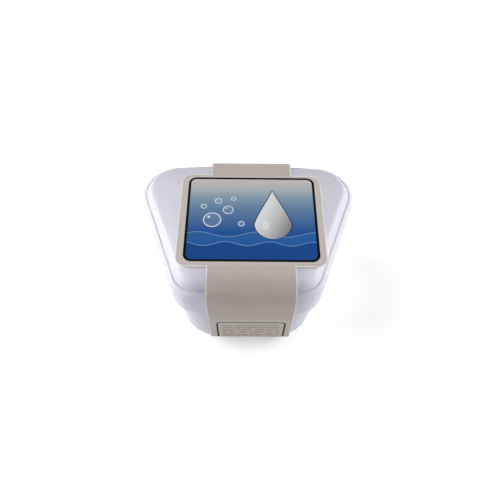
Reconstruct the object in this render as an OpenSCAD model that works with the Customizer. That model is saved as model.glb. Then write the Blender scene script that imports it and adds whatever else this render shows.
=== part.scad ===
// Denture soaking case: a deep moulded tub with a shallow hinged lid, held shut
// by a folded card sleeve.  Millimetres, +Z up, the narrow front faces -Y.

/* [Case outline, seen from above] */
// widest size of the lid rim, near the back
rim_width = 98.6; // [80:0.2:120]
// lid rim from the front face to the back face
rim_depth = 75; // [62:0.2:92]
// how far apart the two front corner centres lie
front_centres = 42.4; // [30:0.2:56]
// radius of the two front corners of the lid rim
front_corner_r = 12.6; // [10:0.2:18]
// radius of the two back corners of the lid rim
back_corner_r = 17.2; // [14:0.2:26]
// radius of the slight outward bow of the front face
front_bow_r = 400; // [200:10:1200]
// radius of the slight outward bow of the back face
back_bow_r = 460; // [200:10:1200]

/* [Tub] */
// height of the tub's rim above its foot
tub_height = 45.8; // [36:0.2:60]
// wall thickness of the tub
tub_wall = 1.6; // [1:0.1:2.4]
// floor thickness of the tub
tub_floor = 1.8; // [1.2:0.1:3]
// how far the wall leans in from the rim band to the foot
tub_draft = 3.8; // [2:0.1:8]
// outside radius where the wall turns into the floor
foot_round = 9.6; // [4:0.1:12]
// extra radius of the outline's corners at the foot
foot_soften = 8.4; // [0:0.2:10]
// height of the thicker band round the tub's rim
band_height = 6.2; // [4:0.1:10]
// how far that band stands out from the wall below it
band_step = 1; // [0.5:0.1:2]
// how far the band leans in from the rim to its lower edge
band_draft = 0.4; // [0:0.1:0.8]
// how far the band sits back from the lid's edge
band_setback = 0.2; // [0:0.05:0.6]
// width of the flat ring that the tub stands on
foot_ring = 3; // [2:0.1:4]
// depth of the hollow inside that ring
foot_recess = 0.8; // [0.4:0.1:1.2]

/* [Lid] */
// height of the lid from its lower edge to its flat top
lid_height = 9.6; // [7.6:0.1:16]
// wall thickness of the lid
lid_wall = 1.5; // [1:0.1:2.2]
// height of the raised part above the ledge
dome_height = 3.1; // [2.6:0.1:5.6]
// how far the raised part is set in from the lid's edge
ledge_width = 2.2; // [1.8:0.1:4]
// how far the raised part's side leans in, degrees
dome_lean = 33; // [10:1:45]
// radius of the raised part's edge, where it turns down
dome_round = 2.2; // [1.8:0.1:3]
// radius of the rim's rounded shoulder
shoulder_round = 2; // [1:0.1:3]
// how far the locating lip reaches down into the tub
lip_depth = 2.5; // [1:0.1:4]
// thickness of the locating lip
lip_wall = 1.2; // [0.8:0.1:2]
// free space between the lip and the inside of the tub
lip_clearance = 0.4; // [0.3:0.05:0.8]
// gap between the lid's edge and the tub's rim
parting_gap = 0.15; // [0.05:0.05:0.4]

/* [Hinge] */
// outside radius of the hinge eyes on the tub
eye_r = 2.5; // [2:0.1:4]
// width of each hinge eye
eye_width = 5; // [3:0.1:8]
// width of the lid's knuckle between the eyes
knuckle_width = 17.4; // [10:0.1:24]
// radius of the stub pins on the knuckle
pin_r = 1.2; // [0.8:0.05:1.8]
// radial running fit of a stub pin in its eye
pin_fit = 0.06; // [0.02:0.01:0.1]
// free space beside the knuckle and round the eyes
hinge_clearance = 0.3; // [0.2:0.05:0.6]
// how far the lid opens, degrees
lid_open = 100; // [80:1:110]

/* [Card sleeve] */
// thickness of the card
card = 0.4; // [0.3:0.05:0.8]
// width of the band that runs round the case
band_width = 37.6; // [24:0.2:50]
// width of the label panel on the lid
panel_width = 63.8; // [44:0.2:76]
// length of the label panel, front to back
panel_depth = 51.4; // [36:0.2:56]
// distance from the front of the lid to the panel
panel_start = 12.6; // [8:0.1:13]
// radius of the panel's corners
panel_corner_r = 3.6; // [1:0.1:8]
// inside radius of the card's folds over the lid
card_fold = 0.3; // [0.1:0.1:1.2]
// how far the back fold stands off the lid's raised part
fold_slack = 0.8; // [0:0.1:2]
// radius of the card's soft bend below the rim band
card_bend = 7; // [2:0.5:12]
// free space between the card and the case
sleeve_gap = 0.25; // [0.2:0.05:0.6]
// height of the glued lap that closes the band at the back
lap_height = 13; // [6:0.5:18]
// height of the lap's lower end above the table
lap_start = 15; // [11:0.5:18]
// how far the sleeve sits off the middle of the case
sleeve_offset = 1.6; // [-4:0.1:4]

/* [Hidden] */

// steps in each arc of the outline and of the rounded edges
bow_steps = 4;
front_steps = 14;
back_steps = 20;
edge_steps = 7;
inner_steps = 3;
round_fn = 64;
// extra depth of a cut or an overlap, and a length past everything
over = 0.5;
reach = 200;

// levels, counted from the table under the card
foot_z = card + sleeve_gap;
rim_z = foot_z + tub_height;
lid_z = rim_z + parting_gap;
lid_top = lid_z + lid_height;
ledge_z = lid_top - dome_height;
shoulder_z = ledge_z - shoulder_round - (ledge_width - shoulder_round) / 2;
band_z = rim_z - band_height;
floor_z = foot_z + foot_recess + tub_floor;
// height over which the wall swells out into the band
swell = band_step * 0.7;

// distances in from the lid's edge
band_in = band_setback + band_draft;
wall_in = band_in + band_step;
foot_in = wall_in + tub_draft;
rim_inner = wall_in + tub_wall;
lip_in = rim_inner + lip_clearance;
recess_in = foot_in + foot_round + foot_ring;
floor_round = foot_round - tub_wall;

// small bevel on edges that aren't rounded
edge = 0.3;

// foot of the lid's raised part, and centre of the arc that rounds its edge
crease_z = ledge_z - edge;
dome_cz = lid_top - dome_round;
dome_c = [
    ledge_width + (dome_round + (dome_cz - crease_z) * sin(dome_lean)) / cos(dome_lean),
    dome_cz];
dome_end = 180 - dome_lean;
// where the top and the leaning side would meet without that arc
dome_in = dome_c[0] - dome_round * tan((90 - dome_lean) / 2);

// inside radius under the raised part's edge
dome_in_r = max(dome_round - lid_wall, edge);

// centres of the arcs that make the outline
front_x = front_centres / 2;
back_x = rim_width / 2 - back_corner_r;
front_y = front_bow_r - sqrt(pow(front_bow_r - front_corner_r, 2) - pow(front_x, 2));
front_bow_y = front_bow_r;
back_bow_y = rim_depth - back_bow_r;
back_y = back_bow_y + sqrt(pow(back_bow_r - back_corner_r, 2) - pow(back_x, 2));
front_a = atan2(front_y - front_bow_y, front_x);
back_a = atan2(back_y - back_bow_y, back_x);
side_len = norm([back_x - front_x, back_y - front_y]);
side_a = atan2(back_y - front_y, back_x - front_x)
    - acos((front_corner_r - back_corner_r) / side_len);

// hinge axis, behind the rim and level with the parting line
axis_y = rim_depth + eye_r + hinge_clearance;
axis_z = rim_z + parting_gap / 2;
eye_x = knuckle_width / 2 + hinge_clearance;
// how far the eyes' webs reach down from the axis
web_drop = eye_r * 0.76;
// how far behind the lid's wall its knuckle's arm starts
arm_y = rim_depth - lid_wall * 0.6;
// end of the card on the lid side, as an angle below the axis
card_end = -20;
// the card leans in below the hinge, and its lower half starts clear of the upper half's swing
card_lean = atan2(axis_y + eye_r - rim_depth + foot_in, axis_z - foot_z - foot_round);
card_in_r = eye_r + sleeve_gap;
swing_len = sqrt(pow(card_in_r + card, 2) - pow(card_in_r, 2));
card_drop = card_in_r * sin(card_lean) + swing_len * cos(card_lean) + hinge_clearance;

// the whole part is centred on its box
front_face = -sleeve_gap - card;
back_face = axis_y + eye_r + sleeve_gap + card;
shift_y = -(front_face + back_face) / 2;

// points of an arc round c; first and last let it leave out an end point
function arc(c, r, a0, a1, n, first = 0, last = 0) =
    [for (i = [first:n - last]) let (a = a0 + (a1 - a0) * i / n) c + r * [cos(a), sin(a)]];

// radius of a corner pulled in by d and softened by s
function corner_r(r, d, s) = max(r - d + s, edge);

// its centre, which moves in along the middle of the corner as the radius grows
function corner_c(c, r, a0, a1, d, s) =
    let (n0 = [cos(a0), sin(a0)], n1 = [cos(a1), sin(a1)])
    c - (corner_r(r, d, s) - r + d) * (n0 + n1) / (1 + n0 * n1);

// right half of the outline pulled in by d and softened by s, from the front to the back
function half(d, s) =
    let (front = corner_c([front_x, front_y], front_corner_r, front_a, side_a, d, s),
         back = corner_c([back_x, back_y], back_corner_r, side_a, back_a, d, s),
         front_end = atan2(front[1] - front_bow_y, front[0]),
         back_end = atan2(back[1] - back_bow_y, back[0]))
    concat(
        arc([0, front_bow_y], front_bow_r - d, -90, front_end, bow_steps, last = 1),
        arc(front, corner_r(front_corner_r, d, s), front_a, side_a, front_steps),
        arc(back, corner_r(back_corner_r, d, s), side_a, back_a, back_steps),
        arc([0, back_bow_y], back_bow_r - d, back_end, 90, bow_steps, first = 1));

// whole outline, anticlockwise from the middle of the front
function outline(d, s) =
    let (h = half(d, s), n = len(h))
    concat(h, [for (i = [n - 2:-1:1]) [-h[i][0], h[i][1]]]);

// profile points of an arc, as [distance in, height, softening]
function turn(c, r, a0, a1, n = edge_steps, s = 0) =
    [for (p = arc(c, r, a0, a1, n)) [p[0], p[1], s]];

// closed skin through a list of [distance in, height, softening] rings, capped at both ends
module skin(rings) {
    n = len(outline(0, 0));
    m = len(rings);
    pts = [for (q = rings) for (p = outline(q[0], q[2])) [p[0], p[1], q[1]]];
    sides = [for (k = [0:m - 2]) for (i = [0:n - 1])
        let (j = (i + 1) % n) [k * n + i, k * n + n + i, k * n + n + j, k * n + j]];
    first = [[for (i = [0:n - 1]) i]];
    last = [[for (i = [n - 1:-1:0]) (m - 1) * n + i]];
    polyhedron(points = pts, faces = concat(first, sides, last), convexity = 8);
}

module along_x(x0, x1, r) {
    translate([x0, axis_y, axis_z])
        rotate([0, 90, 0])
            cylinder(r = r, h = x1 - x0, $fn = round_fn);
}

module tub() {
    color("gainsboro")
    translate([0, shift_y, 0])
    difference() {
        union() {
            skin(concat(
                [[recess_in, foot_z + foot_recess, foot_soften]],
                [[recess_in, foot_z, foot_soften]],
                turn([foot_in + foot_round, foot_z + foot_round], foot_round, -90, -180,
                     s = foot_soften),
                [[wall_in, band_z, 0]],
                [[band_in, band_z + swell, 0]],
                [[band_setback, rim_z - edge, 0]],
                [[band_setback + edge, rim_z, 0]],
                [[rim_inner - edge, rim_z, 0]],
                [[rim_inner, rim_z - edge, 0]],
                [[rim_inner, band_z, 0]],
                turn([foot_in + foot_round, floor_z + floor_round], floor_round, 180, 270,
                     s = foot_soften)));
            for (s = [-1, 1])
                eye(s);
        }
        for (s = [-1, 1])
            eye_bore(s);
    }
}

// hinge eye on a short web that grows out of the rim band
module eye(s) {
    x0 = s > 0 ? eye_x : -eye_x - eye_width;
    along_x(x0, x0 + eye_width, eye_r);
    web_y = rim_depth - wall_in - over;
    translate([x0, web_y, axis_z - web_drop])
        cube([eye_width, axis_y - web_y, web_drop - parting_gap / 2]);
}

module eye_bore(s) {
    x0 = s > 0 ? eye_x : -eye_x - eye_width;
    along_x(x0 - over, x0 + eye_width + over, pin_r + pin_fit);
}

module lid() {
    color("whitesmoke")
    translate([0, shift_y, 0])
    union() {
        skin(concat(
            turn(dome_c, dome_in_r, 90, dome_end, inner_steps),
            [[lip_in + lip_wall, rim_z, 0]],
            [[lip_in + lip_wall, rim_z - lip_depth + edge, 0]],
            [[lip_in + lip_wall - edge, rim_z - lip_depth, 0]],
            [[lip_in + edge, rim_z - lip_depth, 0]],
            [[lip_in, rim_z - lip_depth + edge, 0]],
            [[lip_in, ledge_z - lid_wall - edge, 0]],
            [[lid_wall + edge, ledge_z - lid_wall - edge, 0]],
            [[lid_wall, lid_z, 0]],
            [[edge / 2, lid_z, 0]],
            [[0, lid_z + edge / 2, 0]],
            turn([shoulder_round, shoulder_z], shoulder_round, 180, 90),
            [[ledge_width, crease_z, 0]],
            turn(dome_c, dome_round, dome_end, 90)));
        along_x(-knuckle_width / 2, knuckle_width / 2, eye_r - edge / 2);
        translate([-knuckle_width / 2, arm_y, lid_z])
            cube([knuckle_width, axis_y - arm_y, eye_r - edge]);
        along_x(-eye_x - eye_width + edge, eye_x + eye_width - edge, pin_r);
    }
}

// side view of everything that the card runs round, grown by g
module girth(g) {
    hull() {
        for (s = [0, 1])
            translate([s * rim_depth, 0])
                mirror([s, 0]) {
                    translate([dome_in + card_fold - s * fold_slack, lid_top - card_fold])
                        circle(r = card_fold + g, $fn = round_fn);
                    translate([shoulder_round, shoulder_z])
                        circle(r = shoulder_round + g, $fn = round_fn);
                    translate([foot_in + foot_round, foot_z + foot_round])
                        circle(r = foot_round + g, $fn = round_fn);
                    translate([edge, lid_z + edge])
                        circle(r = edge + g, $fn = round_fn);
                    translate([band_in + card_bend, band_z + swell])
                        circle(r = card_bend + g, $fn = round_fn);
                }
        translate([axis_y, axis_z])
            circle(r = eye_r + g, $fn = round_fn);
    }
}

module card_loop() {
    difference() {
        girth(sleeve_gap + card);
        girth(sleeve_gap);
    }
}

// side view of the half that stays on the lid
module lid_side() {
    polygon([
        [-reach, rim_z],
        [axis_y, rim_z],
        [axis_y + reach * cos(card_end), axis_z + reach * sin(card_end)],
        [axis_y + reach, reach],
        [-reach, reach]]);
}

// side view of the half that stays on the tub
module tub_side() {
    polygon([
        [-reach, -reach],
        [reach, -reach],
        [reach, axis_z - card_drop],
        [rim_depth / 2, axis_z - card_drop],
        [rim_depth / 2, rim_z],
        [-reach, rim_z]]);
}

module strip() {
    translate([sleeve_offset - band_width / 2, shift_y, 0])
        rotate([90, 0, 90])
            linear_extrude(height = band_width)
                children();
}

// label panel, a flat rounded rectangle wider than the band
module panel() {
    px = panel_width / 2 - panel_corner_r;
    py = panel_depth / 2 - panel_corner_r;
    translate([sleeve_offset, shift_y + panel_start + panel_depth / 2, lid_top + sleeve_gap])
        linear_extrude(height = card)
            union() {
                square([panel_width, 2 * py], center = true);
                square([2 * px, panel_depth], center = true);
                for (x = [-px, px], y = [-py, py])
                    translate([x, y])
                        circle(r = panel_corner_r, $fn = round_fn);
            }
}

module sleeve_upper() {
    color("tan")
    union() {
        strip()
            intersection() {
                card_loop();
                lid_side();
            }
        panel();
    }
}

// second layer of card inside the band, where its ends are glued together
module lap() {
    intersection() {
        difference() {
            girth(sleeve_gap + card / 2);
            girth(sleeve_gap - card);
        }
        translate([rim_depth / 2, lap_start])
            square([rim_depth, lap_height]);
    }
}

module sleeve_lower() {
    color("burlywood")
    strip() {
        intersection() {
            card_loop();
            tub_side();
        }
        lap();
    }
}

tub();
lid();
sleeve_upper();
sleeve_lower();
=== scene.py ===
import math

import bmesh
import bpy
from mathutils import Matrix, Vector


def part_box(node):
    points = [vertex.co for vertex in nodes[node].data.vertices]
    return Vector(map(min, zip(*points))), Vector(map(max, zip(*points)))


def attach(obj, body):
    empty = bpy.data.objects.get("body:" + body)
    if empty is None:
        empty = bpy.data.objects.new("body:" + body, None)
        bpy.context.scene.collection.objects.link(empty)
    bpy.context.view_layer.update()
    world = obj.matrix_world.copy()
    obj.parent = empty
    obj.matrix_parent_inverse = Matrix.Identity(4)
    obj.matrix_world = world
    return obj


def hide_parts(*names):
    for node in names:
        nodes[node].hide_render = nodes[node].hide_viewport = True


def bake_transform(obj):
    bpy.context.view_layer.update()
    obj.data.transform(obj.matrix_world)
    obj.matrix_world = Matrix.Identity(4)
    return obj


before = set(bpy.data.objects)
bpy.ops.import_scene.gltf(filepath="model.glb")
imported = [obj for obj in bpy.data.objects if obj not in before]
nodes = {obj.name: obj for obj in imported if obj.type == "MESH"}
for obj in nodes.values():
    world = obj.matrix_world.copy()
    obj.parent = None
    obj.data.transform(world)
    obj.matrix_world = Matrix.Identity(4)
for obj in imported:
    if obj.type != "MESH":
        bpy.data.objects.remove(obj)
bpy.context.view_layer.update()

# Lengths are in millimetres unless a comment says otherwise, and MM makes metres of them
MM = 0.001

# Camera, worked out from the outlines in the photograph, whose frame is 500 by 500 pixels.
# Its place and clip distance are in metres, its angles in degrees.
CAMERA_PLACE = (-1.44 * MM, -150.48 * MM, 242.58 * MM)
CAMERA_DOWN = 54.7
CAMERA_YAW = 1.06
CAMERA_ROLL = 1.33
CAMERA_CLIP = 0.01
FOCAL_PX = 535.34
PHOTO_PX = 500
SENSOR = 36

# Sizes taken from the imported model
UPPER_LOW, UPPER_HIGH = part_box("sleeve_upper")
LOWER_LOW, LOWER_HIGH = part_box("sleeve_lower")
LID_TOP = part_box("lid")[1].z / MM
CARD_X = (LOWER_LOW.x + LOWER_HIGH.x) / 2 / MM
CARD_FRONT = UPPER_LOW.y / MM
CARD_TOP = UPPER_HIGH.z / MM
BAND_HALF = (LOWER_HIGH.x - LOWER_LOW.x) / 2 / MM
PANEL_HALF = (UPPER_HIGH.x - UPPER_LOW.x) / 2 / MM

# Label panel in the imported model, in the card's own plane
PANEL_MIDDLE_Y = -1.85
PANEL_LENGTH = 51.4
PANEL_CORNER = 3.6
# How the panel is really cut: rounder corners, a little wider, its back edge askew
CUT_CORNER = 4.8
CUT_WIDER = 0.35
CUT_BACK = 0.45
CUT_ASKEW = 0.35
# How near to the panel's outline a vertex counts as on it, and how far below the card's top
# its vertices may lie
NEAR = 0.05
PANEL_DEPTH = 1.0
# Print on the panel, with the dark line round it
PRINT_WIDTH = 57.1
PRINT_LENGTH = 46.5
PRINT_CORNER = 3.1
PRINT_OFFSET_X = 0.11
PRINT_OFFSET_Y = 0.63
LINE_WIDTH = 1.15
# How far below the card's top a face begins to show the print, and shows it fully
TOP_FACE = (0.06, 0.03)
# Paler grey of the panel: how far inside the outline its edge lies, its blur and its share
PANEL_PALES = 0.8
PANEL_BLUR = 0.8
PANEL_SHARE = 0.9
# White margin along the card's cut edges, and its blur
CUT_MARGIN = 0.5
CUT_BLUR = 0.1

# The tub's rim band reaches lower on the real case: its lower edge's height and bevel in the
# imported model, how much lower it goes, and what share of x and y the wall draws in over that
BAND_EDGE = 40.6
BAND_BEVEL = 0.5
BAND_DROP = 3.0
BAND_DRAW_IN = (0.016, 0.021)
# Least share of a face's normal that points away from the middle on the tub's outside
OUTWARD = 0.1

# Outer corners of the card's halves at the back crease, as y and z
HALF_LOW = (40.194, 43.974)
HALF_HIGH = (40.598, 45.378)
# Thickness of the strip over that crease, its steps, which of a step's faces lie along the
# white edges, and how white they are
SCORED = 0.15
CREASE_STEPS = 10
CREASE_WHITE_FACES = (0, 2, 3, 7)
CREASE_WHITE = 0.9

# Where the card's gentle bend over the lid's front edge begins in y and ends in z
FOLD_BACK = -30.0
FOLD_LOW = 48.0
# Share of the bend over which it sets in, and how squarely a face looks along it to take part
FOLD_SETS_IN = 0.01
FOLD_FACING = (0.55, 0.65)

# Lid's raised top: half its width at the front and back, its ends in y, how far it tilts
# there, and how thick the layer is that tilts
TOP_NARROW = 22.0
TOP_WIDE = 43.0
TOP_FRONT = -36.0
TOP_BACK = 32.0
TOP_TILT_X = 0.36
TOP_TILT_Y = 0.55
TOP_EDGE = 1.4

# Heights over which painted shade on the rim, where the walls overlap, sets in at the rim band's
# lower edge and fades out above the lid's ledge, and over which painted shade sets in again
# towards the tub's foot
PAINTED_RIM_SHADE_FROM = (37.25, 37.45)
PAINTED_RIM_SHADE_TO = (52.5, 51.5)
PAINTED_FOOT_SHADE_HEIGHTS = (26.0, 10.0)

# Painted shade along the crease round the raised top's foot: its height, how it fades with
# the distance from there, and where in x it turns from painted shade to painted light
CREASE_Z = 53.0
CREASE_FADES = (0.4, 0.15)
CREASE_TURN = (20.0, 33.0)

# Ruled table on the front of the card: its middle in x and z, and its size
TABLE_X = 1.9
TABLE_Z = 15.3
TABLE_HALF_X = 15.4
TABLE_HALF_Z = 12.2
TABLE_CORNER = 2.2
TABLE_LINE = 0.85
TABLE_BLUR = 0.08
# Its grey bars: half the step from one to the next, where their edge begins and ends, their
# distance from the table's line and its blur, and their share
BAR_STEP = 1.35
BAR_EDGE = (0.42, 0.3)
BAR_MARGIN = 2.0
BAR_BLUR = 0.2
BAR_SHARE = 0.8
# Where in y the card's front ends, and over which heights and by what share painted light
# makes its lower part paler
CARD_FRONT_ENDS = (-14.0, -15.0)
CARD_PAINTED_LIGHT_HEIGHTS = (34.0, 30.5)
CARD_PAINTED_LIGHT_SHARE = 0.9

# Noises, each with the part of its range that is used
MOULD_CLOUDS = {"per_mm": 0.035, "detail": 3}
MOULD_CLOUD_RANGE = (0.35, 0.65)
MOULD_GRAIN = {"per_mm": 2.2, "detail": 3, "roughness": 0.6}
MOULD_WEAR = {"per_mm": 0.22, "detail": 4, "roughness": 0.65}
FIBRES = {"per_mm": 1.6, "detail": 4, "roughness": 0.7, "stretch": (1, 0.35, 0.35)}
MOTTLING = {"per_mm": 0.05, "detail": 2}
SPECKS = {"per_mm": 0.9, "detail": 1}
SPECK_RANGE = (0.79, 0.82)
BAR_GAPS = {"per_mm": 0.5, "detail": 0, "stretch": (1, 0, 1)}
BAR_GAP_RANGE = (0.36, 0.4)
WIDE_RANGE = (0.3, 0.7)
# Shares of mottling and specks in the card's colour
MOTTLING_SHARE = 0.35
SPECK_SHARE = 0.35

# Finish of the plastic: the milky part's depth is in millimetres, its radius is per colour
PLASTIC_ROUGHNESS = (0.34, 0.46)
PLASTIC_IOR = 1.49
MILKY_SHARE = 0.35
MILKY_DEPTH = 2.5
MILKY_RADIUS = (1.0, 1.0, 1.2)
# Finish of the card
CARD_ROUGHNESS = (0.38, 0.46)
CARD_IOR = 1.45
CARD_SPECULAR = 0.07
# Height of the fine relief on both, and its strength on each
RELIEF = 0.02
PLASTIC_RELIEF = 0.5
CARD_RELIEF = 0.35
# Blur of a printed line's edge
BLUR = 0.05
# A face of the card is an inner one when its normal times its place, seen from the middle of
# the case, falls from the first of these to the second
INWARD = (-0.5, -1.0)

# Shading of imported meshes: corners nearer than this are joined, and edges that bend by more
# than this many degrees stay sharp
WELD = 0.002
SHARP_ANGLE = 32

# Strength of the faint surround, and each lamp's name, place and size in metres and power in
# watts, with the point in metres that all lamps look at
SURROUND = 0.05
LAMPS = [
    ("left_box", (-0.75, 0.05, 0.35), (0.7, 0.5), 7.6),
    ("right_box", (0.75, 0.05, 0.35), (0.7, 0.5), 6.4),
    ("back_box", (0, 0.8, 0.35), (0.9, 0.5), 0.6),
    ("front_box", (0, -0.8, 0.3), (0.9, 0.4), 0.7),
]
LAMP_TARGET = (0, 0, 0.03)
# Floor: its size in metres, its finish, and its glow for the camera, as near and far distance
# and the strength at each
FLOOR_SIZE = 6
FLOOR_COLOUR = (0.9, 0.9, 0.9, 1)
FLOOR_ROUGHNESS = 0.9
FLOOR_SPECULAR = 0.1
FLOOR_FADE = (70.0, 180.0, 0.35, 1.0)
FULL_WHITE = (1, 1, 1, 1)

# Mix node: places of its two inputs and its output for each kind of value
MIX_SOCKETS = {"VECTOR": (4, 5, 1), "RGBA": (6, 7, 2)}


class Graph:
    """Short names for making the nodes of a tree."""

    def __init__(self, tree):
        self.tree = tree

    def node(self, kind, **settings):
        node = self.tree.nodes.new(kind)
        for name, value in settings.items():
            setattr(node, name, value)
        return node

    def link(self, source, socket):
        """Sets a number or colour on a socket, or links an output to it."""
        if isinstance(source, (int, float, tuple)):
            socket.default_value = source
        else:
            self.tree.links.new(source, socket)

    def fill(self, node, *values):
        """Gives a node's inputs their values in order."""
        for value, socket in zip(values, node.inputs):
            self.link(value, socket)
        return node.outputs[0] if node.outputs else None

    def math(self, operation, *values, clamp=False):
        return self.fill(self.node("ShaderNodeMath", operation=operation, use_clamp=clamp), *values)

    def plus(self, a, b):
        return self.math("ADD", a, b)

    def minus(self, a, b):
        return self.math("SUBTRACT", a, b)

    def times(self, a, b):
        return self.math("MULTIPLY", a, b)

    def size(self, a):
        return self.math("ABSOLUTE", a)

    def length(self, x, y):
        return self.math("SQRT", self.plus(self.times(x, x), self.times(y, y)))

    def vector(self, operation, *values, scale=None):
        node = self.node("ShaderNodeVectorMath", operation=operation)
        self.fill(node, *values)
        if scale is not None:
            node.inputs["Scale"].default_value = scale
        number = operation in ("LENGTH", "DOT_PRODUCT")
        return node.outputs["Value" if number else "Vector"]

    def join(self, x, y, z):
        return self.fill(self.node("ShaderNodeCombineXYZ"), x, y, z)

    def turned(self, normal, start, end):
        """A normal carried from one space to another."""
        node = self.node("ShaderNodeVectorTransform", vector_type="NORMAL",
                         convert_from=start, convert_to=end)
        return self.fill(node, normal)

    def spread(self, value, low, high, to_low=0.0, to_high=1.0):
        """A value carried from one range to another, and held at its ends."""
        node = self.node("ShaderNodeMapRange", clamp=True)
        return self.fill(node, value, low, high, to_low, to_high)

    def mix(self, share, a, b, kind="RGBA"):
        node = self.node("ShaderNodeMix", data_type=kind)
        first, second, result = MIX_SOCKETS[kind]
        self.link(share, node.inputs["Factor"])
        self.link(a, node.inputs[first])
        self.link(b, node.inputs[second])
        return node.outputs[result]

    def ramp(self, share, stops):
        node = self.node("ShaderNodeValToRGB")
        band = node.color_ramp
        while len(band.elements) < len(stops):
            band.elements.new(0.5)
        for element, (position, colour) in zip(band.elements, stops):
            element.position = position
            element.color = colour
        return self.fill(node, share)


class Surface(Graph):
    """A material with one principled shader, and its object's own places in millimetres."""

    def __init__(self, name):
        self.material = bpy.data.materials.new(name)
        self.material.use_nodes = True
        super().__init__(self.material.node_tree)
        self.tree.nodes.clear()
        self.out = self.node("ShaderNodeOutputMaterial").inputs["Surface"]
        self.shader = self.node("ShaderNodeBsdfPrincipled")
        self.link(self.shader.outputs[0], self.out)
        place = self.node("ShaderNodeTexCoord").outputs["Object"]
        self.mm = self.vector("SCALE", place, scale=1 / MM)
        split = self.node("ShaderNodeSeparateXYZ")
        self.fill(split, self.mm)
        self.x, self.y, self.z = split.outputs

    def normal(self):
        return self.node("ShaderNodeNewGeometry").outputs["Normal"]

    def noise(self, per_mm, detail, roughness=0.5, stretch=(1, 1, 1)):
        node = self.node("ShaderNodeTexNoise")
        self.link(self.vector("MULTIPLY", self.mm, stretch), node.inputs["Vector"])
        self.link(per_mm, node.inputs["Scale"])
        self.link(detail, node.inputs["Detail"])
        self.link(roughness, node.inputs["Roughness"])
        return node.outputs["Fac"]

    def bump(self, height, strength, normal=None):
        """Fine relief by this height, on top of the surface's own or another normal."""
        node = self.node("ShaderNodeBump")
        self.link(strength, node.inputs["Strength"])
        self.link(RELIEF * MM, node.inputs["Distance"])
        self.link(height, node.inputs["Height"])
        if normal is not None:
            self.link(normal, node.inputs["Normal"])
        self.link(node.outputs[0], self.shader.inputs["Normal"])

    def set(self, **values):
        for name, value in values.items():
            self.link(value, self.shader.inputs[name.replace("_", " ")])


def linear(red, green, blue):
    """A colour given as it shows on a screen, 0 to 255, for a shader."""
    def one(v):
        v = v / 255
        return v / 12.92 if v <= 0.04045 else ((v + 0.055) / 1.055) ** 2.4
    return (one(red), one(green), one(blue), 1.0)


# Plastics as their main colour, a second one in clouds, and a darker one for painted shade
# on the rim where the walls overlap
TUB_TINTS = (linear(230, 229, 241), linear(226, 225, 239), linear(224, 221, 237))
LID_TINTS = (linear(225, 223, 236), linear(222, 220, 235), linear(222, 219, 235))
# Painted shade towards the tub's foot
PAINTED_FOOT_SHADE = linear(221, 219, 233)
# Painted shade and painted light along the crease round the lid's raised top
CREASE_PAINTED_SHADE = linear(213, 208, 229)
CREASE_PAINTED_LIGHT = linear(242, 241, 250)
CARD_LIGHT = linear(204, 195, 188)
CARD_DARK = linear(198, 188, 180)
CARD_CLOUD = linear(207, 199, 192)
CARD_SPECK = linear(120, 112, 104)
CARD_INSIDE = linear(222, 218, 210)
CARD_WHITE = linear(248, 244, 241)
CARD_PANEL = linear(214, 206, 200)
# Painted light on the lower part of the card's front
CARD_PAINTED_LIGHT = linear(215, 206, 196)
TABLE_BLACK = linear(12, 12, 14)
BAR_GREY = linear(80, 76, 76)
PRINT_BLACK = linear(1, 1, 4)
WHITE = linear(238, 240, 244)
PALE_BLUE = linear(150, 186, 216)

# Artwork on the panel: its fade from front to back
FADE = [
    (0.0, linear(12, 74, 158)),
    (0.2, linear(22, 82, 162)),
    (0.33, linear(42, 92, 162)),
    (0.45, linear(76, 114, 168)),
    (0.6, linear(103, 137, 173)),
    (0.75, linear(143, 168, 187)),
    (0.86, linear(186, 193, 196)),
    (0.97, linear(210, 203, 199)),
]
# Waves as level, height, length, shift, tint and how strong that tint is
WAVES = [
    (-9.5, 1.3, 26.0, 4.0, linear(70, 128, 186), 0.3),
    (-14.5, 1.1, 19.0, -3.0, linear(8, 46, 116), 0.45),
]
WAVE_BLUR = 0.1
WAVE_LINE = 0.35
WAVE_LINE_SHARE = 0.6
# Bubbles as x, y and radius. Their line grows with the radius, and their spark's place and
# radius are shares of it.
BUBBLES = [
    (-17.5, -1.5, 3.8),
    (-10.5, 4.2, 2.2),
    (-15.0, 9.4, 1.5),
    (-21.5, 6.2, 1.2),
    (-8.2, 10.8, 1.0),
    (-4.6, -3.6, 1.3),
]
BUBBLE_SHARE = 0.22
BUBBLE_LINE = 0.3
BUBBLE_LINE_GROWS = 0.05
SPARK_X = -0.4
SPARK_Y = 0.42
SPARK_RADIUS = 0.17
# Drop: its round end's middle and radius, how high its tip is, and how fast it narrows
DROP_X = 9.5
DROP_Y = -3.6
DROP_RADIUS = 8.2
DROP_HEIGHT = 19.5
DROP_TAPER = 0.75
# Its outline, and its shades with how they change across and along from their middle
DROP_LINE = 0.9
DROP_BLUR = 0.1
DROP_EDGE = linear(20, 44, 84)
DROP_SHADES = [
    (0.0, linear(236, 238, 240)),
    (0.45, linear(206, 207, 206)),
    (1.0, linear(128, 134, 142)),
]
DROP_ACROSS = 0.06
DROP_ALONG = -0.03
DROP_MIDDLE = 0.45
# Its shine, a long patch of light
SHINE_SQUEEZE = 0.55
SHINE_PLACE = (-3.2, -0.4)
SHINE_RADIUS = 1.5
SHINE_BLUR = 0.3
SHINE_SHARE = 0.8


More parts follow.
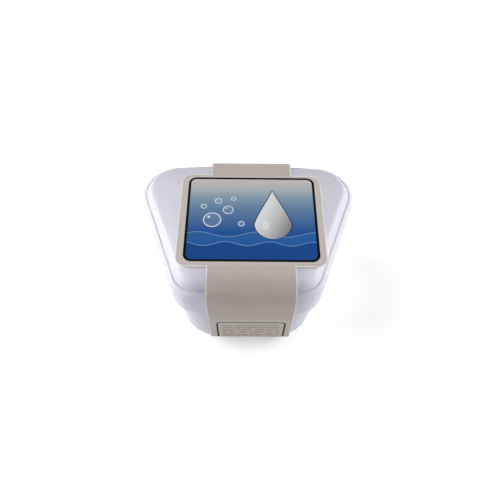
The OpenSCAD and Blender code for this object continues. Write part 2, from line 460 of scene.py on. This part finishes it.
def crowned_top(g):
    """Normal of the lid with its top swelling a little towards the middle."""
    half = g.spread(g.y, TOP_FRONT, TOP_BACK, TOP_NARROW, TOP_WIDE)
    across = g.math("DIVIDE", g.x, half)
    along = g.spread(g.y, TOP_FRONT, TOP_BACK, -1.0, 1.0)
    share = g.spread(g.z, LID_TOP - TOP_EDGE, LID_TOP)
    tilts = []
    for way, most in ((across, TOP_TILT_X), (along, TOP_TILT_Y)):
        swell = g.times(way, g.size(way))
        tilts.append(g.times(g.times(swell, share), most))
    normal = g.turned(g.normal(), "WORLD", "OBJECT")
    bent = g.vector("ADD", normal, g.join(*tilts, 0.0))
    return g.turned(g.vector("NORMALIZE", bent), "OBJECT", "WORLD")


def plastic(name, tints, crowned=False):
    """Satin moulded polypropylene: milky, finely textured, painted shade where walls overlap."""
    g = Surface(name)
    main, second, rim_shade_tint = tints
    clouds = g.noise(**MOULD_CLOUDS)
    tint = g.mix(g.spread(clouds, *MOULD_CLOUD_RANGE), main, second)
    # Painted shade on the tub's rim band and the lid's skirt, where the walls overlap
    painted_rim_shade = g.times(g.spread(g.z, *PAINTED_RIM_SHADE_FROM), g.spread(g.z, *PAINTED_RIM_SHADE_TO))
    tint = g.mix(painted_rim_shade, tint, rim_shade_tint)
    if crowned:
        # Painted shade in the crease round the raised top, turning to painted light at the sides
        crease = g.spread(g.size(g.minus(g.z, CREASE_Z)), *CREASE_FADES)
        side = g.spread(g.size(g.x), *CREASE_TURN)
        tint = g.mix(crease, tint, g.mix(side, CREASE_PAINTED_SHADE, CREASE_PAINTED_LIGHT))
    else:
        # Painted shade, darker towards the tub's foot
        tint = g.mix(g.spread(g.z, *PAINTED_FOOT_SHADE_HEIGHTS), tint, PAINTED_FOOT_SHADE)
    wear = g.noise(**MOULD_WEAR)
    g.set(Base_Color=tint, Roughness=g.spread(wear, *WIDE_RANGE, *PLASTIC_ROUGHNESS))
    g.set(IOR=PLASTIC_IOR, Subsurface_Weight=MILKY_SHARE, Subsurface_Radius=MILKY_RADIUS)
    g.set(Subsurface_Scale=MILKY_DEPTH * MM)
    g.bump(g.noise(**MOULD_GRAIN), PLASTIC_RELIEF, crowned_top(g) if crowned else None)
    return g.material


def soft_fold(g):
    """Normal of the card's outer face where it bends gently over the lid's front edge."""
    ahead = g.spread(g.y, FOLD_BACK, CARD_FRONT)
    below = g.spread(g.z, CARD_TOP, FOLD_LOW)
    angle = g.times(g.times(g.plus(ahead, below), 0.5), math.pi / 2)
    bent = g.join(0.0, g.times(g.math("SINE", angle), -1.0), g.math("COSINE", angle))
    world = g.turned(bent, "OBJECT", "WORLD")
    normal = g.normal()
    facing = g.spread(g.vector("DOT_PRODUCT", world, normal), *FOLD_FACING)
    outer = g.times(facing, g.spread(ahead, 0.0, FOLD_SETS_IN))
    return g.vector("NORMALIZE", g.mix(outer, normal, world, "VECTOR"))


def inner_face(g):
    """1 on the side of the card that faces the case."""
    normal = g.turned(g.normal(), "WORLD", "OBJECT")
    outward = g.join(0.0, g.y, g.minus(g.z, CARD_TOP / 2))
    return g.spread(g.vector("DOT_PRODUCT", normal, outward), *INWARD)


def card_base(name, folded=False):
    """Coated folding board: warm grey print over white, with faint fibres and mottling."""
    g = Surface(name)
    fibres = g.noise(**FIBRES)
    grey = g.mix(g.spread(fibres, *WIDE_RANGE), CARD_LIGHT, CARD_DARK)
    mottling = g.spread(g.noise(**MOTTLING), *WIDE_RANGE, 0.0, MOTTLING_SHARE)
    grey = g.mix(mottling, grey, CARD_CLOUD)
    specks = g.spread(g.noise(**SPECKS), *SPECK_RANGE, 0.0, SPECK_SHARE)
    grey = g.mix(specks, grey, CARD_SPECK)
    g.set(Roughness=g.spread(fibres, *WIDE_RANGE, *CARD_ROUGHNESS))
    g.set(IOR=CARD_IOR, Specular_IOR_Level=CARD_SPECULAR)
    g.bump(fibres, CARD_RELIEF, soft_fold(g) if folded else None)
    return g, g.mix(inner_face(g), grey, CARD_INSIDE)


def rounded_box(g, x, y, half_x, half_y, corner):
    """Distance from a rounded rectangle's edge, negative inside."""
    dx = g.minus(g.size(x), half_x - corner)
    dy = g.minus(g.size(y), half_y - corner)
    out = g.length(g.math("MAXIMUM", dx, 0.0), g.math("MAXIMUM", dy, 0.0))
    inside = g.math("MINIMUM", g.math("MAXIMUM", dx, dy), 0.0)
    return g.minus(g.plus(out, inside), corner)


def circle(g, x, y, centre, radius):
    """Distance from a circle, negative inside."""
    return g.minus(g.length(g.minus(x, centre[0]), g.minus(y, centre[1])), radius)


def wave(g, x, y, level, height, length, shift):
    """Distance above a level sine wave."""
    turn = g.times(g.plus(x, shift), 2 * math.pi / length)
    crest = g.math("MULTIPLY_ADD", g.math("SINE", turn), height, level)
    return g.minus(y, crest)


def drop(g, across, along):
    """Distance across from the edge of a water drop that stands on its round end."""
    up = g.math("DIVIDE", g.math("MAXIMUM", along, 0.0), DROP_HEIGHT)
    down = g.math("DIVIDE", g.math("MINIMUM", along, 0.0), DROP_RADIUS)
    within = g.minus(1.0, g.plus(g.times(up, up), g.times(down, down)))
    taper = g.math("POWER", g.math("MAXIMUM", g.minus(1.0, up), 0.0), DROP_TAPER)
    half = g.times(g.math("SQRT", g.math("MAXIMUM", within, 0.0)), taper)
    beyond = g.times(g.math("LESS_THAN", within, 0.0), DROP_HEIGHT)
    return g.plus(g.math("MULTIPLY_ADD", half, -DROP_RADIUS, g.size(across)), beyond)


def band_distance(g):
    """Distance from the card band's cut edges, negative inside."""
    return g.minus(g.size(g.minus(g.x, CARD_X)), BAND_HALF)


def soft_step(g, distance, blur=BLUR):
    """1 where distance is below zero, 0 above it."""
    return g.spread(distance, blur, -blur)


def stroke(g, distance, width, blur=BLUR):
    """1 on a line of this width along distance zero."""
    return soft_step(g, g.minus(g.size(distance), width / 2), blur)


def white_edges(g, colour, distance):
    """Shows a white margin where distance to the cut edge is small."""
    return g.mix(g.spread(distance, -CUT_MARGIN, CUT_BLUR - CUT_MARGIN), colour, CARD_WHITE)


def plain_card():
    """The band's lower half, with a ruled table of grey bars on its front."""
    g, grey = card_base("plain_card")
    x = g.minus(g.x, TABLE_X)
    z = g.minus(g.z, TABLE_Z)
    front = g.times(g.spread(g.y, *CARD_FRONT_ENDS), g.minus(1.0, inner_face(g)))
    # Painted light: the card's front turns paler towards its lower part
    low = g.times(g.spread(g.z, *CARD_PAINTED_LIGHT_HEIGHTS), front)
    grey = g.mix(g.times(low, CARD_PAINTED_LIGHT_SHARE), grey, CARD_PAINTED_LIGHT)
    edge = rounded_box(g, x, z, TABLE_HALF_X, TABLE_HALF_Z, TABLE_CORNER)
    line = g.times(stroke(g, edge, TABLE_LINE, TABLE_BLUR), front)
    colour = g.mix(line, grey, TABLE_BLACK)
    bars = g.spread(g.math("PINGPONG", z, BAR_STEP), *BAR_EDGE)
    bars = g.times(bars, g.spread(g.noise(**BAR_GAPS), *BAR_GAP_RANGE))
    bars = g.times(bars, soft_step(g, g.plus(edge, BAR_MARGIN), BAR_BLUR))
    colour = g.mix(g.times(g.times(bars, front), BAR_SHARE), colour, BAR_GREY)
    g.set(Base_Color=white_edges(g, colour, band_distance(g)))
    return g.material


def crease_card(name, white):
    """The band's card without its cut edges, with this share of white."""
    g, grey = card_base(name)
    g.set(Base_Color=g.mix(white, grey, CARD_WHITE))
    return g.material


def artwork(g, x, y):
    """Plain water scene: a pale drop, bubbles and two soft waves on a grey to blue fade."""
    colour = g.ramp(g.spread(y, -PRINT_LENGTH / 2, PRINT_LENGTH / 2), FADE)
    for level, height, length, shift, tint, share in WAVES:
        above = wave(g, x, y, level, height, length, shift)
        colour = g.mix(g.times(soft_step(g, above, WAVE_BLUR), share), colour, tint)
        crest = g.times(stroke(g, above, WAVE_LINE), WAVE_LINE_SHARE)
        colour = g.mix(crest, colour, PALE_BLUE)
    for middle_x, middle_y, radius in BUBBLES:
        ring = circle(g, x, y, (middle_x, middle_y), radius)
        colour = g.mix(g.times(soft_step(g, ring), BUBBLE_SHARE), colour, PALE_BLUE)
        line = stroke(g, ring, BUBBLE_LINE + radius * BUBBLE_LINE_GROWS)
        colour = g.mix(line, colour, WHITE)
        place = (middle_x + radius * SPARK_X, middle_y + radius * SPARK_Y)
        spark = circle(g, x, y, place, radius * SPARK_RADIUS)
        colour = g.mix(soft_step(g, spark), colour, WHITE)
    across = g.minus(x, DROP_X)
    along = g.minus(y, DROP_Y)
    edge = drop(g, across, along)
    side = g.plus(g.times(across, DROP_ACROSS), g.times(along, DROP_ALONG))
    body = g.ramp(g.math("ADD", side, DROP_MIDDLE, clamp=True), DROP_SHADES)
    colour = g.mix(stroke(g, edge, DROP_LINE, DROP_BLUR), colour, DROP_EDGE)
    colour = g.mix(soft_step(g, edge, DROP_BLUR), colour, body)
    shine = circle(g, across, g.times(along, SHINE_SQUEEZE), SHINE_PLACE, SHINE_RADIUS)
    return g.mix(g.times(soft_step(g, shine, SHINE_BLUR), SHINE_SHARE), colour, WHITE)


def printed_card():
    """The band's upper half with the label panel."""
    g, grey = card_base("printed_card", folded=True)
    x = g.minus(g.x, CARD_X)
    y = g.minus(g.y, PANEL_MIDDLE_Y)
    askew = g.math("MULTIPLY_ADD", x, -CUT_ASKEW / PANEL_HALF, CUT_BACK)
    straight = g.minus(y, g.times(askew, g.spread(y, 0.0, PANEL_LENGTH / 2)))
    panel = rounded_box(g, x, straight, PANEL_HALF + CUT_WIDER, PANEL_LENGTH / 2, CUT_CORNER)
    pale = g.times(soft_step(g, g.plus(panel, PANEL_PALES), PANEL_BLUR), PANEL_SHARE)
    grey = g.mix(pale, grey, CARD_PANEL)
    print_x = g.minus(x, PRINT_OFFSET_X)
    print_y = g.minus(y, PRINT_OFFSET_Y)
    edge = rounded_box(g, print_x, print_y, PRINT_WIDTH / 2, PRINT_LENGTH / 2, PRINT_CORNER)
    top_face = g.spread(g.z, *(CARD_TOP - depth for depth in TOP_FACE))
    inside = g.times(soft_step(g, edge), top_face)
    colour = g.mix(inside, grey, artwork(g, print_x, print_y))
    colour = g.mix(g.times(stroke(g, edge, LINE_WIDTH), top_face), colour, PRINT_BLACK)
    cut = g.math("MINIMUM", band_distance(g), panel)
    g.set(Base_Color=white_edges(g, colour, cut))
    return g.material


def smooth_shading():
    """Geometry nodes that join split corners and shade all but sharp edges smoothly."""
    tree = bpy.data.node_groups.new("rounded_shading", "GeometryNodeTree")
    for way in ("INPUT", "OUTPUT"):
        tree.interface.new_socket("Geometry", in_out=way, socket_type="NodeSocketGeometry")
    g = Graph(tree)
    weld = g.node("GeometryNodeMergeByDistance")
    g.link(g.node("NodeGroupInput").outputs[0], weld.inputs["Geometry"])
    g.link(WELD * MM, weld.inputs["Distance"])
    faces = g.node("GeometryNodeSetShadeSmooth", domain="FACE")
    g.link(weld.outputs[0], faces.inputs["Geometry"])
    bend = g.node("GeometryNodeInputMeshEdgeAngle")
    soft = g.node("FunctionNodeCompare", operation="LESS_THAN")
    g.link(bend.outputs["Unsigned Angle"], soft.inputs["A"])
    g.link(math.radians(SHARP_ANGLE), soft.inputs["B"])
    edges = g.node("GeometryNodeSetShadeSmooth", domain="EDGE")
    g.link(faces.outputs[0], edges.inputs["Geometry"])
    g.link(soft.outputs[0], edges.inputs["Shade Smooth"])
    g.link(edges.outputs[0], g.node("NodeGroupOutput").inputs[0])
    return tree


def new_piece(name, mesh, work):
    """Puts the worked shape into the mesh and the mesh into the scene."""
    work.to_mesh(mesh)
    work.free()
    piece = bpy.data.objects.new(name, mesh)
    bpy.context.scene.collection.objects.link(piece)
    return piece


def reshaped(name, node, reshape):
    """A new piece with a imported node's shape, after some change to it."""
    mesh = nodes[node].data.copy()
    work = bmesh.new()
    work.from_mesh(mesh)
    reshape(work)
    return new_piece(name, mesh, work)


def cut_panel(work):
    """Cuts the label panel as it really is."""
    half_y = PANEL_LENGTH / 2
    for vertex in work.verts:
        x = vertex.co.x / MM - CARD_X
        y = vertex.co.y / MM - PANEL_MIDDLE_Y
        low = vertex.co.z / MM < CARD_TOP - PANEL_DEPTH
        if low or abs(x) < BAND_HALF - NEAR or abs(y) > half_y + NEAR:
            continue
        over_x = abs(x) - PANEL_HALF + PANEL_CORNER
        over_y = abs(y) - half_y + PANEL_CORNER
        if over_x > -NEAR and over_y > -NEAR:
            turn = math.atan2(max(over_y, 0), max(over_x, 0))
            x = math.copysign(PANEL_HALF + CUT_WIDER - CUT_CORNER * (1 - math.cos(turn)), x)
            y = math.copysign(half_y - CUT_CORNER * (1 - math.sin(turn)), y)
        y += max(y, 0) / half_y * (CUT_BACK - CUT_ASKEW * x / PANEL_HALF)
        vertex.co.x = (x + CARD_X) * MM
        vertex.co.y = (y + PANEL_MIDDLE_Y) * MM


def lower_band(work):
    """Makes the tub's rim band as tall as it really is."""
    moved = set()
    for face in work.faces:
        middle = face.calc_center_median()
        away = face.normal.x * middle.x + face.normal.y * middle.y
        if away > OUTWARD * middle.xy.length:
            moved.update(v for v in face.verts if abs(v.co.z / MM - BAND_EDGE) < BAND_BEVEL)
    for vertex in moved:
        if vertex.co.z / MM < BAND_EDGE:
            vertex.co.x *= 1 - BAND_DRAW_IN[0]
            vertex.co.y *= 1 - BAND_DRAW_IN[1]
        vertex.co.z -= BAND_DROP * MM


def back_crease():
    """Scored strip that joins the card's halves behind the hinge."""
    low, high = Vector(HALF_LOW) * MM, Vector(HALF_HIGH) * MM
    way = (high - low).normalized()
    inward = Vector((-way.y, way.x)) * SCORED * MM
    margin = BAND_HALF - CUT_MARGIN
    across = [(CARD_X + x) * MM for x in (-BAND_HALF, -margin, margin, BAND_HALF)]
    work = bmesh.new()
    rows = []
    for step in range(CREASE_STEPS + 1):
        outer = low.lerp(high, step / CREASE_STEPS)
        inner = outer + inward
        corners = [(x, outer) for x in across] + [(x, inner) for x in reversed(across)]
        rows.append([work.verts.new((x, point.x, point.y)) for x, point in corners])
    for a, b in zip(rows, rows[1:]):
        for i in range(len(a)):
            after = (i + 1) % len(a)
            face = work.faces.new((a[i], a[after], b[after], b[i]))
            face.material_index = 1 if i in CREASE_WHITE_FACES else 0
    work.faces.new(rows[0])
    work.faces.new(rows[-1])
    bmesh.ops.recalc_face_normals(work, faces=work.faces)
    return new_piece("card_crease", bpy.data.meshes.new("card_crease"), work)


def dress(piece, *materials):
    """Gives a piece its materials and smooth shading."""
    piece.data.materials.clear()
    for material in materials:
        piece.data.materials.append(material)
    piece.modifiers.new("rounded_shading", "NODES").node_group = smooth


def make_camera():
    """The photograph's camera."""
    down, yaw, roll = (math.radians(a) for a in (CAMERA_DOWN, CAMERA_YAW, CAMERA_ROLL))
    flat = math.cos(down)
    ahead = Vector((math.sin(yaw) * flat, math.cos(yaw) * flat, -math.sin(down)))
    level = Vector((math.cos(yaw), -math.sin(yaw), 0))
    up = level.cross(ahead)
    right = level * math.cos(roll) + up * math.sin(roll)
    up = up * math.cos(roll) - level * math.sin(roll)
    data = bpy.data.cameras.new("camera")
    data.sensor_width = SENSOR
    data.lens = SENSOR * FOCAL_PX / PHOTO_PX
    data.clip_start = CAMERA_CLIP
    camera = bpy.data.objects.new("camera", data)
    turn = Matrix((right, up, -ahead)).transposed().to_4x4()
    camera.matrix_world = Matrix.Translation(CAMERA_PLACE) @ turn
    bpy.context.scene.collection.objects.link(camera)
    bpy.context.scene.camera = camera


def make_floor():
    """White floor that keeps the shadow near the case and shows as white to the camera beyond."""
    bpy.ops.mesh.primitive_plane_add(size=FLOOR_SIZE, location=(0, 0, 0))
    floor = bpy.context.object
    floor.name = "floor"
    g = Surface("floor")
    g.set(Base_Color=FLOOR_COLOUR, Roughness=FLOOR_ROUGHNESS)
    g.set(Specular_IOR_Level=FLOOR_SPECULAR)
    fade = g.spread(g.vector("LENGTH", g.mm), *FLOOR_FADE)
    seen = g.node("ShaderNodeLightPath").outputs["Is Camera Ray"]
    glow = g.fill(g.node("ShaderNodeEmission"), FULL_WHITE, g.times(seen, fade))
    both = g.fill(g.node("ShaderNodeAddShader"), g.shader.outputs[0], glow)
    g.link(both, g.out)
    floor.data.materials.append(g.material)


def soft_box(name, place, size, power):
    """A rectangular area lamp that looks at the case."""
    data = bpy.data.lights.new(name, "AREA")
    data.shape = "RECTANGLE"
    data.size, data.size_y = size
    data.energy = power
    lamp = bpy.data.objects.new(name, data)
    lamp.location = place
    aim = Vector(LAMP_TARGET) - Vector(place)
    lamp.rotation_euler = aim.to_track_quat("-Z", "Y").to_euler()
    bpy.context.scene.collection.objects.link(lamp)


def make_light():
    """Soft boxes at the sides, weak ones in front and behind, and a faint surround.

    The surround shows as plain white to the camera, in reflections and through the plastic.
    """
    world = bpy.data.worlds.new("world")
    world.use_nodes = True
    g = Graph(world.node_tree)
    g.tree.nodes.clear()
    rays = g.node("ShaderNodeLightPath").outputs
    seen = rays["Is Camera Ray"]
    for ray in ("Is Glossy Ray", "Is Transmission Ray"):
        seen = g.math("MAXIMUM", seen, rays[ray])
    faint = g.fill(g.node("ShaderNodeBackground"), FULL_WHITE, SURROUND)
    white = g.fill(g.node("ShaderNodeBackground"), FULL_WHITE, 1.0)
    mixed = g.fill(g.node("ShaderNodeMixShader"), seen, faint, white)
    g.fill(g.node("ShaderNodeOutputWorld"), mixed)
    bpy.context.scene.world = world
    for lamp in LAMPS:
        soft_box(*lamp)


smooth = smooth_shading()
shell = reshaped("tub_shell", "tub", lower_band)
dress(shell, plastic("tub_plastic", TUB_TINTS))
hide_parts("tub")
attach(shell, "case")
dress(nodes["lid"], plastic("lid_plastic", LID_TINTS, crowned=True))
dress(nodes["sleeve_lower"], plain_card())
label = reshaped("label_card", "sleeve_upper", cut_panel)
dress(label, printed_card())
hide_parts("sleeve_upper")
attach(label, "sleeve_top")
crease = back_crease()
dress(crease, crease_card("crease_card", 0.0), crease_card("crease_edge", CREASE_WHITE))
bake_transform(crease)
make_floor()
make_light()
make_camera()
bpy.context.scene.view_settings.view_transform = "Standard"
